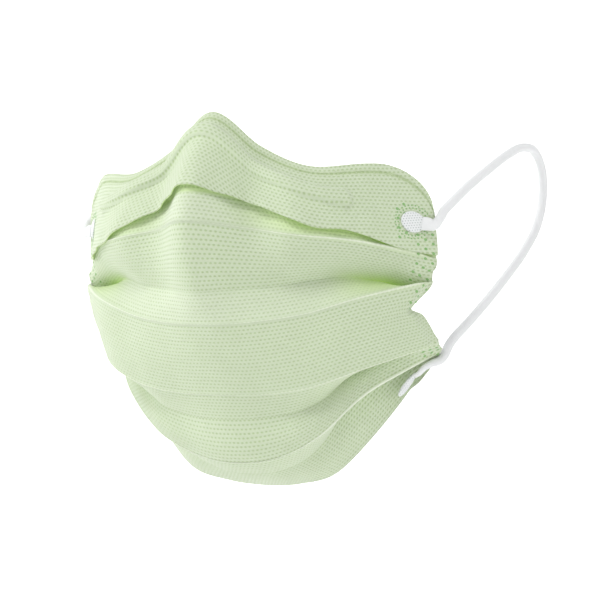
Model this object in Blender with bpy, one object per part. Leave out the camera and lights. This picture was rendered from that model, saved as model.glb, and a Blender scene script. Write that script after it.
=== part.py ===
"""Pleated face mask with ear loops, in the form it has when it is worn.

The origin is at the middle of the top edge, on the bridge of the nose. +X is the wearer's left, -Y is
straight ahead and +Z is up. All sizes are in metres.
"""

import math

import bpy
import numpy as np

# Overall form
half_width = 0.0695          # middle to the welded side edge
mask_height = 0.1268         # bridge of the nose to the lowest point of the bottom edge
mask_depth = 0.060           # tip of the nose to the lower corners

# Cloth
body_wall = 0.0010
band_wall = 0.0008
layer_gap = 0.0003           # between one piece and the next
fold_radius = 0.00068        # of the middle of the cloth at a crease
corner_radius = 0.0160       # round upper corners
lower_corner_radius = 0.0040

# Nose band
band_width = 0.0275          # top edge to its free edge, at its widest
band_shares = (0.93, 0.81, 0.84, 0.93, 0.93)   # the same at the stations, shares of band_width
band_wave = 0.0009
band_waves = 7
hem_width = 0.0150           # cloth under the band that follows the band before it turns in to the first pleat
hem_clear = 0.0080           # least distance from the end of that cloth to the first fold line

# Nose wire
wire_length = 0.0980
wire_width = 0.0040
wire_thickness = 0.0006
wire_drop = 0.0085           # top edge to the middle of the wire
wire_end_drop = 0.0125       # the same at the ends of the wire

# Ear loops
cord_diameter = 0.0032
weld_thickness = 0.0008
weld_corners = 16
loop_points = 50
loop_crowding = 0.05         # how much closer the points are at both ends and behind the ear

# How finely the cloth is divided
columns = 17                 # across half the mask
band_rows = 11
crease_steps = 3             # round each crease
face_columns = 49            # across half of the outer face, before the folds are laid on it
face_rows = 160
face_smoothing = 500         # rounds of evening out of the direction in which the layers are stacked

# Where the sections of the mask are given: shares of the way from the middle to the side edge
stations = (0.0, 0.25, 0.50, 0.75, 1.0)

# The outer face of the mask, a row for each fold line from top to bottom.
# side: share of half_width; ahead: y at the stations, shares of mask_depth; level: z, shares of mask_height
section_table = (
    dict(line="top_edge", side=0.971, ahead=(0.000, 0.042, 0.083, 0.217, 0.425),
         level=(0.000, -0.082, -0.141, -0.140, -0.139)),
    dict(line="fold_a", side=1.000, ahead=(-0.317, -0.125, -0.108, 0.108, 0.458),
         level=(-0.288, -0.306, -0.326, -0.342, -0.386)),
    dict(line="fold_b", side=0.990, ahead=(-0.150, -0.083, 0.017, 0.133, 0.393),
         level=(-0.555, -0.549, -0.528, -0.487, -0.443)),
    dict(line="fold_c", side=0.957, ahead=(0.050, 0.075, 0.105, 0.208, 0.575),
         level=(-0.740, -0.737, -0.715, -0.663, -0.594)),
    dict(line="fold_d", side=0.928, ahead=(0.233, 0.250, 0.250, 0.333, 0.683),
         level=(-0.927, -0.910, -0.848, -0.730, -0.629)),
    dict(line="bottom_edge", side=0.842, ahead=(0.600, 0.550, 0.533, 0.567, 0.633),
         level=(-1.000, -0.990, -0.946, -0.836, -0.690)),
)

# The side edge is drawn in between the second and the third pleat, where the cloth buckles
notch_depth = 0.0076
notch_start = 0.72           # share of the half width where the drawing in starts
notch_levels = (0.00, 0.14, 0.28, 0.37, 0.46, 0.62, 0.80, 1.00)   # shares of the way down from fold_b to fold_c
notch_shares = (0.00, 0.18, 0.70, 1.00, 0.64, 0.37, 0.19, 0.00)   # how far in the edge is at each of them

# The pleats. A pleat that opens upward has its inner crease before its outer crease on the way down.
# level_at: share of the half width where the pleat stands straight in; shut_at: where it lies shut;
# ride: height of the shut outer crease over the others, in crease widths
pleat_table = (
    dict(line="fold_a", opens="up", depth=0.0065, level_at=0.52, shut_at=0.92, ride=-0.3),
    dict(line="fold_b", opens="up", depth=0.0110, level_at=0.66, shut_at=0.92, ride=1.9),
    dict(line="fold_c", opens="down", depth=0.0095, level_at=0.50, shut_at=0.85, ride=1.9),
    dict(line="fold_d", opens="down", depth=0.0090, level_at=0.45, shut_at=0.85, ride=-0.3),
)
open_angle = math.radians(8)      # of a pleat at the middle of the mask, from lying flat open
shut_angle = math.radians(162)    # of a pleat at the side, 180 degrees being pressed shut
top_ride = -0.75                  # height of the top edge where the pleats are shut, in crease widths
bottom_ride = -1.6                # the same of the bottom edge
panel_steps = (4, 5, 5, 6, 4)     # cloth below the hem, then the four panels between and below the pleats
hem_steps = 3

# The pressed ends of the ear loops. share and drop: its middle, share of the half width and distance down the face;
# turn: of its long way, from straight across towards the bottom; lies_on: height of the cloth under it;
# edge: the edge of the mask that it is next to
weld_table = (
    dict(name="loop_weld_top", share=0.905, drop=0.70 * band_width, length=0.0084, width=0.0070,
         turn=math.radians(10), lies_on=layer_gap + band_wall, edge="top"),
    dict(name="loop_weld_bottom", share=0.857, drop=0.629 * mask_height, length=0.0096, width=0.0032,
         turn=math.radians(-57), lies_on=0.0, edge="bottom"),
)

# Ear loop on the wearer's left: the points that the middle of the cord passes between its two welds, as shares of
# half_width to the side, mask_depth ahead and mask_height up. It wraps round the side edge at both ends
loop_route = (
    (1.023, 0.438, -0.281), (1.024, 0.483, -0.262), (1.024, 0.550, -0.246), (1.029, 0.773, -0.193),
    (1.037, 1.030, -0.140), (1.045, 1.313, -0.087), (1.047, 1.435, -0.070), (1.050, 1.532, -0.064),
    (1.053, 1.632, -0.068), (1.055, 1.703, -0.087), (1.058, 1.760, -0.127), (1.059, 1.772, -0.172),
    (1.059, 1.748, -0.227), (1.058, 1.670, -0.287), (1.053, 1.522, -0.348), (1.039, 1.235, -0.438),
    (1.020, 1.007, -0.506), (0.983, 0.833, -0.566), (0.958, 0.775, -0.592), (0.941, 0.742, -0.614),
    (0.932, 0.717, -0.636), (0.920, 0.680, -0.651), (0.897, 0.636, -0.659), (0.872, 0.604, -0.669),
)


def smooth_curve(knots, values, at, level_start=False):
    """A smooth curve through the values, with level_start flat at its first knot."""
    knots = np.asarray(knots, float)
    values = np.asarray(values, float)
    span = np.diff(knots)
    shape = (-1,) + (1,) * (values.ndim - 1)
    chord = np.diff(values, axis=0) / span.reshape(shape)
    slope = np.empty_like(values)
    share = (span[:-1] / (span[:-1] + span[1:])).reshape(shape)
    slope[1:-1] = (1 - share) * chord[:-1] + share * chord[1:]
    slope[0] = 0.0 if level_start else 1.5 * chord[0] - 0.5 * slope[1]
    slope[-1] = 1.5 * chord[-1] - 0.5 * slope[-2]
    at = np.asarray(at, float)
    piece = np.clip(np.searchsorted(knots, at, side="right") - 1, 0, len(knots) - 2)
    step = span[piece]
    t = (at - knots[piece]) / step
    if values.ndim > 1:
        step = step[:, None]
        t = t[:, None]
    start = (1 + 2 * t) * (1 - t) ** 2 * values[piece] + t * (1 - t) ** 2 * step * slope[piece]
    end = t * t * (3 - 2 * t) * values[piece + 1] - t * t * (1 - t) * step * slope[piece + 1]
    return start + end


def along(points):
    """Distance along a line of points."""
    return np.concatenate([[0.0], np.cumsum(np.linalg.norm(np.diff(points, axis=0), axis=1))])


def fold_line(row, shares):
    """Points of one fold line, evenly spaced along the cloth from the middle to the side edge."""
    across = np.linspace(0.0, 1.0, 121)
    line = np.stack([row["side"] * half_width * across,
                     smooth_curve(stations, row["ahead"], across, True) * mask_depth,
                     smooth_curve(stations, row["level"], across, True) * mask_height], axis=1)
    length = along(line)
    at = np.asarray(shares) * length[-1]
    return np.stack([np.interp(at, length, line[:, axis]) for axis in range(3)], axis=1)


class Face:
    """The smooth outer face of half the mask, before the pleats are folded into it."""

    def __init__(self):
        shares = np.linspace(0.0, 1.0, face_columns)
        lines = np.stack([fold_line(row, shares) for row in section_table])
        knots = along(lines[:, 0])
        self.rows = np.unique(np.concatenate([np.linspace(0.0, knots[-1], face_rows), knots]))
        self.points = np.stack([smooth_curve(knots, lines[:, i], self.rows) for i in range(face_columns)])
        over = np.gradient(self.points, shares, axis=0)
        over[0, :, 1:] = 0.0
        normal = np.cross(np.gradient(self.points, axis=1), over)
        normal /= np.linalg.norm(normal, axis=2, keepdims=True)
        for _ in range(face_smoothing):
            wide = np.pad(normal, ((0, 0), (1, 1), (0, 0)), mode="edge")
            normal = (wide[:, :-2] + 2 * normal + wide[:, 2:]) / 4
        self.normals = normal / np.linalg.norm(normal, axis=2, keepdims=True)
        self.drops = np.stack([along(section) for section in self.points])
        self.lines = {row["line"]: knot for row, knot in zip(section_table, knots)}

    def mix(self, table, share):
        """The section of a table of the face at a share of the half width."""
        at = min(max(share, 0.0), 1.0) * (face_columns - 1)
        column = min(int(at), face_columns - 2)
        return table[column] + (at - column) * (table[column + 1] - table[column])

    def drop_of(self, line, share):
        """Distance down the face from the top edge to a fold line."""
        return float(np.interp(self.lines[line], self.rows, self.mix(self.drops, share)))

    def place(self, share, drop, height):
        """The point at a share of the half width, a distance down the face and a height over it."""
        row = np.interp(drop, self.mix(self.drops, share), self.rows)
        upper, lower = self.lines["fold_b"], self.lines["fold_c"]
        nearness = np.interp((row - upper) / (lower - upper), notch_levels, notch_shares)
        inward = max(0.0, (share - notch_start) / (1.0 - notch_start)) ** 1.5
        drawn = share - notch_depth / half_width * nearness * inward
        points = self.mix(self.points, drawn)
        normals = self.mix(self.normals, drawn)
        point = np.array([np.interp(row, self.rows, points[:, axis]) for axis in range(3)])
        normal = np.array([np.interp(row, self.rows, normals[:, axis]) for axis in range(3)])
        return point + height * normal / np.linalg.norm(normal)

    def across(self, share, drop):
        """Length of cloth across for each whole share, at a spot of the face."""
        return np.linalg.norm(self.place(share + 0.02, drop, 0.0) - self.place(share - 0.02, drop, 0.0)) / 0.04


def corner_cut(share, radius):
    """How far a round corner starts below a straight edge, at a share of the half width."""
    from_side = (1.0 - share) * half_width
    if from_side >= radius:
        return 0.0
    return radius - math.sqrt(radius ** 2 - (radius - from_side) ** 2)


def pleat_angle(pleat, share):
    """The angle of a pleat at a share of the half width: 0 lies flat open, 180 degrees is pressed shut."""
    shares = (0.0, pleat["level_at"], pleat["shut_at"], 1.0)
    angles = (open_angle, math.pi / 2, shut_angle, shut_angle)
    return float(smooth_curve(shares, angles, share, True))


def edge_height(edge, share):
    """Height of the cloth at the top or the bottom edge, which lies behind the shut pleat next to it."""
    pleat, ride = {"top": (pleat_table[0], top_ride), "bottom": (pleat_table[-1], bottom_ride)}[edge]
    return 2 * fold_radius * ride * pleat_angle(pleat, share) / math.pi


def belt(pins, steps, offset):
    """A line that runs over pins like a belt, at an offset to it. A pin is its place along, its height and its radius.

    A positive radius is passed on the outside and a negative one on the inside; steps gives the number
    of pieces that each straight run between two pins is divided into.
    """
    angles = []
    for (s0, n0, r0), (s1, n1, r1) in zip(pins[:-1], pins[1:]):
        lean = max(-1.0, min(1.0, (r1 - r0) / math.hypot(s1 - s0, n1 - n0)))
        angles.append(math.atan2(n1 - n0, s1 - s0) + math.asin(lean))
    line = []
    for i, (s, n, radius) in enumerate(pins):
        turns = angles[max(i - 1, 0)], angles[min(i, len(angles) - 1)]
        count = crease_steps if radius else 0
        for k in range(count + 1):
            angle = turns[0] + (turns[1] - turns[0]) * k / max(count, 1)
            line.append((s - (radius + offset) * math.sin(angle), n + (radius + offset) * math.cos(angle)))
        if i < len(steps):
            angle = angles[i]
            start = line[-1]
            s1, n1, r1 = pins[i + 1]
            end = (s1 - (r1 + offset) * math.sin(angle), n1 + (r1 + offset) * math.cos(angle))
            for k in range(1, steps[i]):
                line.append(tuple(a + (b - a) * k / steps[i] for a, b in zip(start, end)))
    return line


def section_belt(face, share, offset):
    """The cloth down one section, as distances down and heights over the outer face, at an offset to its middle."""
    middle = -body_wall / 2
    top = corner_cut(share, corner_radius)
    hem_end = min(top + hem_width, face.drop_of("fold_a", share) - hem_clear)
    hem_height = middle + edge_height("top", share)
    pins = [(hem_end, hem_height, 0.0)]
    steps = []
    for pleat, panel in zip(pleat_table, panel_steps):
        angle = pleat_angle(pleat, share)
        shut = angle / math.pi
        crease = (face.drop_of(pleat["line"], share), middle - fold_radius + 2 * fold_radius * pleat["ride"] * shut)
        run = pleat["depth"] * math.cos(angle), pleat["depth"] * math.sin(angle)
        lift = 2 * fold_radius * math.sin(angle), 2 * fold_radius * math.cos(angle)
        outer = (crease[0], crease[1], fold_radius)
        if pleat["opens"] == "up":
            inner = (crease[0] - run[0] - lift[0], crease[1] - run[1] + lift[1], -fold_radius)
            pins += [inner, outer]
        else:
            inner = (crease[0] + run[0] + lift[0], crease[1] - run[1] + lift[1], -fold_radius)
            pins += [outer, inner]
        steps += [panel, 1]
    bottom = face.drop_of("bottom_edge", share) - corner_cut(share, lower_corner_radius)
    pins.append((bottom, middle + edge_height("bottom", share), 0.0))
    steps.append(panel_steps[-1])
    hem = [(top + (hem_end - top) * k / hem_steps, hem_height + offset) for k in range(hem_steps)]
    return hem + belt(pins, steps, offset)


def new_object(name, data, material):
    thing = bpy.data.objects.new(name, data)
    data.materials.append(material)
    parts.objects.link(thing)
    return thing


def finish(name, colour, roughness, metallic=0.0):
    material = bpy.data.materials.new(name)
    material.use_nodes = True
    shader = material.node_tree.nodes["Principled BSDF"]
    shader.inputs["Base Color"].default_value = (*colour, 1.0)
    shader.inputs["Roughness"].default_value = roughness
    shader.inputs["Metallic"].default_value = metallic
    return material


def cloth_wall(name, outer, inner, faces, material):
    """A closed wall of cloth between its outer and its inner face."""
    count = len(outer)
    sides = {(a, b) for corners in faces for a, b in zip(corners, corners[1:] + corners[:1])}
    rim = [(b, a, count + a, count + b) for a, b in sides if (b, a) not in sides]
    back = [tuple(count + corner for corner in reversed(corners)) for corners in faces]
    mesh = bpy.data.meshes.new(name)
    mesh.from_pydata([tuple(point) for point in list(outer) + list(inner)], [], faces + back + sorted(rim))
    mesh.shade_smooth()
    return new_object(name, mesh, material)


def grid_wall(name, outer, inner, material):
    """A wall between two grids of columns from the middle to one side, together with its mirror image."""
    whole = [np.concatenate([np.array(grid)[:0:-1] * (-1.0, 1.0, 1.0), grid]) for grid in (outer, inner)]
    width, rows = whole[0].shape[:2]
    faces = []
    for c in range(width - 1):
        for r in range(rows - 1):
            here, there = c * rows + r, (c + 1) * rows + r
            if 2 * c < width - 1:
                faces += [(here, here + 1, there), (here + 1, there + 1, there)]
            else:
                faces += [(here, here + 1, there + 1), (here, there + 1, there)]
    return cloth_wall(name, whole[0].reshape(-1, 3), whole[1].reshape(-1, 3), faces, material)


def make_body(face, shares):
    outer, inner = ([[face.place(share, s, n) for s, n in section_belt(face, share, offset)] for share in shares]
                    for offset in (body_wall / 2, -body_wall / 2))
    return grid_wall("mask_body", outer, inner, cloth_green)


def wire_path(share):
    """Distance of the middle of the wire below the top edge, at a share of the half width."""
    reach = min(1.0, share * half_width / (wire_length / 2))
    return wire_drop + (wire_end_drop - wire_drop) * reach ** 2


def band_lift(share, drop, width):
    """How far the band stands off the body, where it passes over the wire and along its wavy free edge."""
    past_end = max(0.0, share * half_width * 1.12 - wire_length / 2)
    off_wire = math.hypot(drop - wire_path(share), past_end) / wire_width
    over_wire = (wire_thickness + layer_gap) / (1.0 + off_wire ** 4)
    free = max(0.0, drop / width - 0.6) / 0.4
    wave = band_wave * (1.0 + math.sin(2 * math.pi * band_waves * share)) * free ** 2
    return over_wire + wave * max(0.0, min(1.0, (0.82 - share) * 6))


def make_band(face, shares):
    outer, inner = [], []
    for share in shares:
        height = layer_gap + edge_height("top", share)
        top = corner_cut(share, corner_radius)
        width = band_width * float(smooth_curve(stations, band_shares, share))
        drops = [top + (width - top) * k / band_rows for k in range(band_rows + 1)]
        inner.append([face.place(share, drop, height + band_lift(share, drop, width)) for drop in drops])
        height += band_wall
        outer.append([face.place(share, drop, height + band_lift(share, drop, width)) for drop in drops])
    return grid_wall("nose_band", outer, inner, cloth_green)


def make_wire(face, shares):
    reach = wire_length / 2 / half_width / 1.12
    outer, inner = ([[face.place(share, wire_path(share) + wire_width * part,
                                 height + edge_height("top", share)) for part in (-0.5, 0.0, 0.5)]
                     for share in shares if share <= reach]
                    for height in (layer_gap + wire_thickness, layer_gap))
    return grid_wall("nose_wire", outer, inner, wire_metal)


def weld_place(face, weld, lengthwise, crosswise, height):
    """A point of a weld, by its distances from the middle of it and its height over the cloth under it."""
    across = lengthwise * math.cos(weld["turn"]) - crosswise * math.sin(weld["turn"])
    down = lengthwise * math.sin(weld["turn"]) + crosswise * math.cos(weld["turn"])
    share = weld["share"] + across / face.across(weld["share"], weld["drop"])
    height += weld["lies_on"] + edge_height(weld["edge"], share)
    return face.place(share, weld["drop"] + down, height)


def make_weld(face, weld, side_name, side):
    """A pressed end of an ear loop: a thin oval plate that follows the cloth under it."""
    spots = [(0.0, 0.0)]
    for ring in (0.55, 1.0):
        for k in range(weld_corners):
            angle = 2 * math.pi * k / weld_corners
            spots.append((ring * weld["length"] / 2 * math.cos(angle), ring * weld["width"] / 2 * math.sin(angle)))
    outer, inner = ([weld_place(face, weld, *spot, height) * (side, 1.0, 1.0) for spot in spots]
                    for height in (layer_gap + weld_thickness, layer_gap))
    faces = []
    for k in range(weld_corners):
        this, following = k + 1, (k + 1) % weld_corners + 1
        faces.append((0, following, this))
        faces.append((this, following, following + weld_corners, this + weld_corners))
    if side < 0:
        faces = [tuple(reversed(corners)) for corners in faces]
    return cloth_wall(weld["name"] + "_" + side_name, outer, inner, faces, cord_white)


def cord_end(face, weld, distance, height):
    """A point of the middle of the cord, off the outer end of its weld."""
    return weld_place(face, weld, weld["length"] / 2 + distance, 0.0, cord_diameter / 2 + height)


def make_loop(face, side_name, side):
    top, bottom = weld_table
    start = [cord_end(face, top, layer_gap, layer_gap), cord_end(face, top, 0.7 * cord_diameter, layer_gap)]
    end = [cord_end(face, bottom, layer_gap, layer_gap)]
    route = np.array(start + [np.multiply(spot, (half_width, mask_depth, mask_height)) for spot in loop_route] + end)
    route *= (side, 1.0, 1.0)
    length = along(route)
    even = np.linspace(0.0, 1.0, loop_points)
    line = smooth_curve(length, route, (even - loop_crowding * np.sin(4 * math.pi * even)) * length[-1])
    name = "ear_loop_" + side_name
    curve = bpy.data.curves.new(name, "CURVE")
    curve.dimensions = "3D"
    curve.bevel_depth = cord_diameter / 2
    curve.bevel_resolution = 2
    curve.use_fill_caps = True
    spline = curve.splines.new("POLY")
    spline.points.add(len(line) - 1)
    for point, place in zip(spline.points, line):
        point.co = (*place, 1.0)
    return new_object(name, curve, cord_white)


for leftover in list(bpy.data.objects):
    bpy.data.objects.remove(leftover)
parts = bpy.data.collections.new("surgical_face_mask")
bpy.context.scene.collection.children.link(parts)

cloth_green = finish("cloth green", (0.58, 0.67, 0.46), 0.85)
wire_metal = finish("wire metal", (0.70, 0.71, 0.72), 0.45, 0.9)
cord_white = finish("cord white", (0.82, 0.85, 0.86), 0.8)

outer_face = Face()
cloth_shares = np.linspace(0.0, 1.0, columns + 1)
make_body(outer_face, cloth_shares)
make_band(outer_face, cloth_shares)
make_wire(outer_face, cloth_shares)
for side_label, side_sign in (("left", 1), ("right", -1)):
    make_loop(outer_face, side_label, side_sign)
    for weld_row in weld_table:
        make_weld(outer_face, weld_row, side_label, side_sign)
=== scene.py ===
# looks, light and camera for a pleated face mask with ear loops; sizes are in metres
import math

import bpy
import numpy as np
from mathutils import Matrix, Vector, noise
from mathutils.bvhtree import BVHTree


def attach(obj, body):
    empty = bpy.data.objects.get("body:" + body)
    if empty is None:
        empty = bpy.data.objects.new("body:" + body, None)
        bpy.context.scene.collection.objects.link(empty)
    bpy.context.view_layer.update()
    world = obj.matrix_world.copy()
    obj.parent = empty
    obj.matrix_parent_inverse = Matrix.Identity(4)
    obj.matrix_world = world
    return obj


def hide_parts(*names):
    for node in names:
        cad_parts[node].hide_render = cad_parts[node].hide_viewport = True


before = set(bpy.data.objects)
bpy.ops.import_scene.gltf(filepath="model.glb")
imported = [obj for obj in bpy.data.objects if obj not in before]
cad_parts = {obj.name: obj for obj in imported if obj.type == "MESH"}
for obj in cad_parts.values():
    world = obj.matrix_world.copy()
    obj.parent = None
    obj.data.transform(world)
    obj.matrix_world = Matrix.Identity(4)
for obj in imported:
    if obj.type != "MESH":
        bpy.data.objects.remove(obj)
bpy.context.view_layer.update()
scene = bpy.context.scene
print("frame loaded:", len(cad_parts), "nodes")

shot = {
    "azimuth": 30.0, "distance": 0.650, "lens": 117.0, "sensor": 36.0, "nearest": 0.01,
    "target": (0.0251, 0.0145, -0.0623),
}
# the floor is painted dim under the mask and bright behind it, as on a lit table: painted shade near the mask
# and a painted glow behind it
studio = {
    "floorLevel": -0.20, "backWall": 1.6, "bend": 0.5, "bendSteps": 16, "front": -2.0, "halfWide": 2.5,
    "wallHeight": 2.0, "floorPaintedShades": (0.80, 0.93), "floorPaintedGlows": (0.38, 1.0), "floorGlow": 0.62,
    "floorRamp": (0.05, 0.40), "floorRoughness": 0.9, "world": 0.50,
    "lights": (
        {"name": "keyLight", "azimuth": -62, "elevation": 24, "distance": 1.2, "size": 0.5, "watts": 5.2},
        {"name": "fillLight", "azimuth": 95, "elevation": 10, "distance": 1.5, "size": 1.0, "watts": 3.8},
        {"name": "topLight", "azimuth": 0, "elevation": 56, "distance": 1.2, "size": 0.5, "watts": 4.8},
    ),
}


def addAround(name, data, azimuth, elevation, distance):
    # an object that looks at the target from a direction around it
    a, e = math.radians(azimuth), math.radians(elevation)
    away = Vector((math.sin(a) * math.cos(e), -math.cos(a) * math.cos(e), math.sin(e)))
    thing = bpy.data.objects.new(name, data)
    thing.location = Vector(shot["target"]) + distance * away
    thing.rotation_euler = (-away).to_track_quat("-Z", "Y").to_euler()
    scene.collection.objects.link(thing)
    return thing


def addCamera():
    data = bpy.data.cameras.new("camera")
    data.lens = shot["lens"]
    data.sensor_width = shot["sensor"]
    data.clip_start = shot["nearest"]
    scene.camera = addAround("camera", data, shot["azimuth"], 0.0, shot["distance"])


def addLights():
    for row in studio["lights"]:
        data = bpy.data.lights.new(row["name"], "AREA")
        data.shape = "DISK"
        data.size = row["size"]
        data.energy = row["watts"]
        addAround(row["name"], data, row["azimuth"], row["elevation"], row["distance"])
    world = bpy.data.worlds.new("studioWorld")
    world.use_nodes = True
    background = world.node_tree.nodes["Background"]
    background.inputs["Color"].default_value = (1.0, 1.0, 1.0, 1.0)
    background.inputs["Strength"].default_value = studio["world"]
    scene.world = world
    scene.view_settings.view_transform = "Standard"


addCamera()
addLights()
print("camera and lights placed")


# shader helpers
def newMaterial(name):
    material = bpy.data.materials.new(name)
    material.use_nodes = True
    return material, material.node_tree, material.node_tree.nodes["Principled BSDF"]


def setInputs(tree, node, inputs):
    for key, value in inputs.items():
        if isinstance(value, bpy.types.NodeSocket):
            tree.links.new(value, node.inputs[key])
        else:
            node.inputs[key].default_value = value


def newNode(tree, kind, inputs=None, **values):
    node = tree.nodes.new(kind)
    for key, value in values.items():
        setattr(node, key, value)
    setInputs(tree, node, inputs or {})
    return node


def maths(tree, operation, *values):
    return newNode(tree, "ShaderNodeMath", dict(enumerate(values)), operation=operation).outputs[0]


def mixColour(tree, factor, *colours):
    first, second = ((*colour, 1.0) if isinstance(colour, tuple) else colour for colour in colours)
    return newNode(tree, "ShaderNodeMix", {0: factor, 6: first, 7: second}, data_type="RGBA").outputs[2]


def readAttribute(tree, name, output="Fac"):
    return newNode(tree, "ShaderNodeAttribute", attribute_name=name).outputs[output]


def makeGroup(name, kind, inputs, outputs):
    group = bpy.data.node_groups.new(name, kind)
    for way, sockets in (("INPUT", inputs), ("OUTPUT", outputs)):
        for socketName, socketKind in sockets.items():
            group.interface.new_socket(socketName, in_out=way, socket_type="NodeSocket" + socketKind)
    return group, group.nodes.new("NodeGroupInput"), group.nodes.new("NodeGroupOutput")


def makeDotGrid():
    # rows of small pressed pits, each row half a pitch off the one above it
    sizes = dict.fromkeys(("PitchAcross", "PitchDown", "PitLength", "PitHeight"), "Float")
    group, inside, out = makeGroup("dotGrid", "ShaderNodeTree", {"Place": "Vector", **sizes},
                                   {"Pit": "Float"})
    split = newNode(group, "ShaderNodeSeparateXYZ", {0: inside.outputs["Place"]})
    down = maths(group, "DIVIDE", split.outputs["Y"], inside.outputs["PitchDown"])
    odd = maths(group, "MULTIPLY", maths(group, "PINGPONG", maths(group, "FLOOR", down), 1.0), 0.5)
    across = maths(group, "DIVIDE", split.outputs["X"], inside.outputs["PitchAcross"])
    across = maths(group, "ADD", across, odd)
    squares = []
    for steps, pitch, size in ((across, "PitchAcross", "PitLength"), (down, "PitchDown", "PitHeight")):
        beside = maths(group, "SUBTRACT", maths(group, "FRACT", steps), 0.5)
        beside = maths(group, "MULTIPLY", beside, inside.outputs[pitch])
        beside = maths(group, "DIVIDE", beside, inside.outputs[size])
        squares.append(maths(group, "MULTIPLY", beside, beside))
    edge = newNode(group, "ShaderNodeMapRange", {
        "Value": maths(group, "SQRT", maths(group, "ADD", *squares)), "From Min": 0.25, "From Max": 1.45,
        "To Min": 1.0, "To Max": 0.0}, interpolation_type="SMOOTHSTEP")
    setInputs(group, out, {"Pit": edge.outputs["Result"]})
    return group


def makeFibres():
    # the matted fibres of a non-woven cloth, and soft clouds where they lie thicker
    group, inside, out = makeGroup("mattedFibres", "ShaderNodeTree", {"Place": "Vector", "Fineness": "Float"},
                                   {"Fibre": "Float", "Cloud": "Float"})
    place = inside.outputs["Place"]
    stretch = newNode(group, "ShaderNodeVectorMath", {0: place, 1: (1.0, 3.2, 1.0)}, operation="MULTIPLY")
    fibre = newNode(group, "ShaderNodeTexNoise", {
        "Vector": stretch.outputs[0], "Scale": inside.outputs["Fineness"], "Detail": 5.0, "Distortion": 1.4})
    cloud = newNode(group, "ShaderNodeTexNoise", {"Vector": place, "Scale": 0.12, "Detail": 3.0})
    setInputs(group, out, {"Fibre": fibre.outputs["Fac"], "Cloud": cloud.outputs["Fac"]})
    return group


dotGrid = makeDotGrid()
mattedFibres = makeFibres()


def useGroup(tree, group, place, values):
    return newNode(tree, "ShaderNodeGroup", {"Place": place, **values}, node_tree=group)


def addBump(tree, shader, height, size):
    bump = newNode(tree, "ShaderNodeBump", {"Height": height, "Strength": size[0], "Distance": size[1]})
    setInputs(tree, shader, {"Normal": bump.outputs["Normal"]})


# pitches and pits of the pressed dots are in millimetres; a bump has its strength and its depth
greenLook = {
    # the deep green and the glow are painted light and shade in the pleat pockets; the emission strength is
    # for that glow
    "cloth": (0.615, 0.710, 0.500), "pale": (0.660, 0.750, 0.555), "paintedPocketShade": (0.46, 0.64, 0.18),
    # the crease colour is a painted highlight along the outer creases
    "pit": (0.42, 0.55, 0.25), "pitMix": 0.75, "crease": (0.84, 0.89, 0.75), "creaseHighlightMix": 0.85,
    "paintedGlow": (0.42, 0.56, 0.20), "fineness": 2.2, "fibreRelief": 0.35, "bump": (0.8, 0.00022),
    "dots": {"PitchAcross": 1.55, "PitchDown": 1.2, "PitLength": 0.50, "PitHeight": 0.30},
    "inputs": {"Emission Strength": 0.28, "Roughness": 0.80, "Sheen Weight": 0.35},
}
whiteLook = {
    "cloth": (0.86, 0.88, 0.86), "pit": (0.70, 0.73, 0.71), "pitMix": 0.35,
    "fineness": 2.6, "fibreRelief": 0.5, "bump": (0.5, 0.00012), "inputs": {"Roughness": 0.85},
    "dots": {"PitchAcross": 1.6, "PitchDown": 1.6, "PitLength": 0.38, "PitHeight": 0.38},
}
cordLook = {
    "yarn": (0.95, 0.96, 0.965), "gap": (0.80, 0.82, 0.84), "gapShadeMix": 0.30,
    "ribs": {"Scale": 1.3, "Distortion": 1.2, "Detail Scale": 2.0}, "bump": (0.5, 0.00012),
    "fineness": 3.5, "fibreRelief": 0.6, "inputs": {"Roughness": 0.85, "Sheen Weight": 0.2},
}
pressedLook = {
    "yarn": (0.86, 0.88, 0.88), "pit": (0.42, 0.47, 0.46), "pitMix": 0.8, "bump": (0.6, 0.00015),
    "dots": {"PitchAcross": 0.95, "PitchDown": 0.80, "PitLength": 0.26, "PitHeight": 0.20},
    "inputs": {"Roughness": 0.6},
}
spotLook = {"colours": ((0.20, 0.42, 0.13), (0.32, 0.54, 0.22)), "scale": 900.0,
            "inputs": {"Roughness": 0.45}}
wireLook = {"colours": ((0.62, 0.63, 0.64), (0.78, 0.79, 0.80)), "scale": 2500.0,
            "inputs": {"Metallic": 1.0, "Roughness": 0.42}}


def dotsAndFibres(tree, place, look):
    # how far each place is pressed in, the clouds of the cloth, and the relief of both
    dots = useGroup(tree, dotGrid, place, look["dots"])
    fibres = useGroup(tree, mattedFibres, place, {"Fineness": look["fineness"]})
    relief = maths(tree, "MULTIPLY", fibres.outputs["Fibre"], look["fibreRelief"])
    relief = maths(tree, "SUBTRACT", relief, dots.outputs["Pit"])
    return maths(tree, "MULTIPLY", dots.outputs["Pit"], look["pitMix"]), fibres.outputs["Cloud"], relief


def makeGreenCloth():
    material, tree, shader = newMaterial("greenCloth")
    pits, clouds, relief = dotsAndFibres(tree, readAttribute(tree, "clothPlace", "Vector"), greenLook)
    pocket = readAttribute(tree, "pocket")
    crease = maths(tree, "MULTIPLY", readAttribute(tree, "crease"), greenLook["creaseHighlightMix"])
    colour = mixColour(tree, clouds, greenLook["cloth"], greenLook["pale"])
    # painted light and shade in the pleat pockets: the cloth there turns a deeper green
    colour = mixColour(tree, pocket, colour, greenLook["paintedPocketShade"])
    colour = mixColour(tree, pits, colour, greenLook["pit"])
    colour = mixColour(tree, readAttribute(tree, "pressed"), colour, greenLook["pit"])
    # painted highlight along the outer creases of the pleats
    colour = mixColour(tree, crease, colour, greenLook["crease"])
    # painted light: a glow on the insides of the pleats stands for light that comes through the thin cloth
    paintedGlow = mixColour(tree, pocket, (0.0, 0.0, 0.0), greenLook["paintedGlow"])
    setInputs(tree, shader, {"Base Color": colour, "Emission Color": paintedGlow, **greenLook["inputs"]})
    addBump(tree, shader, relief, greenLook["bump"])
    return material


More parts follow.
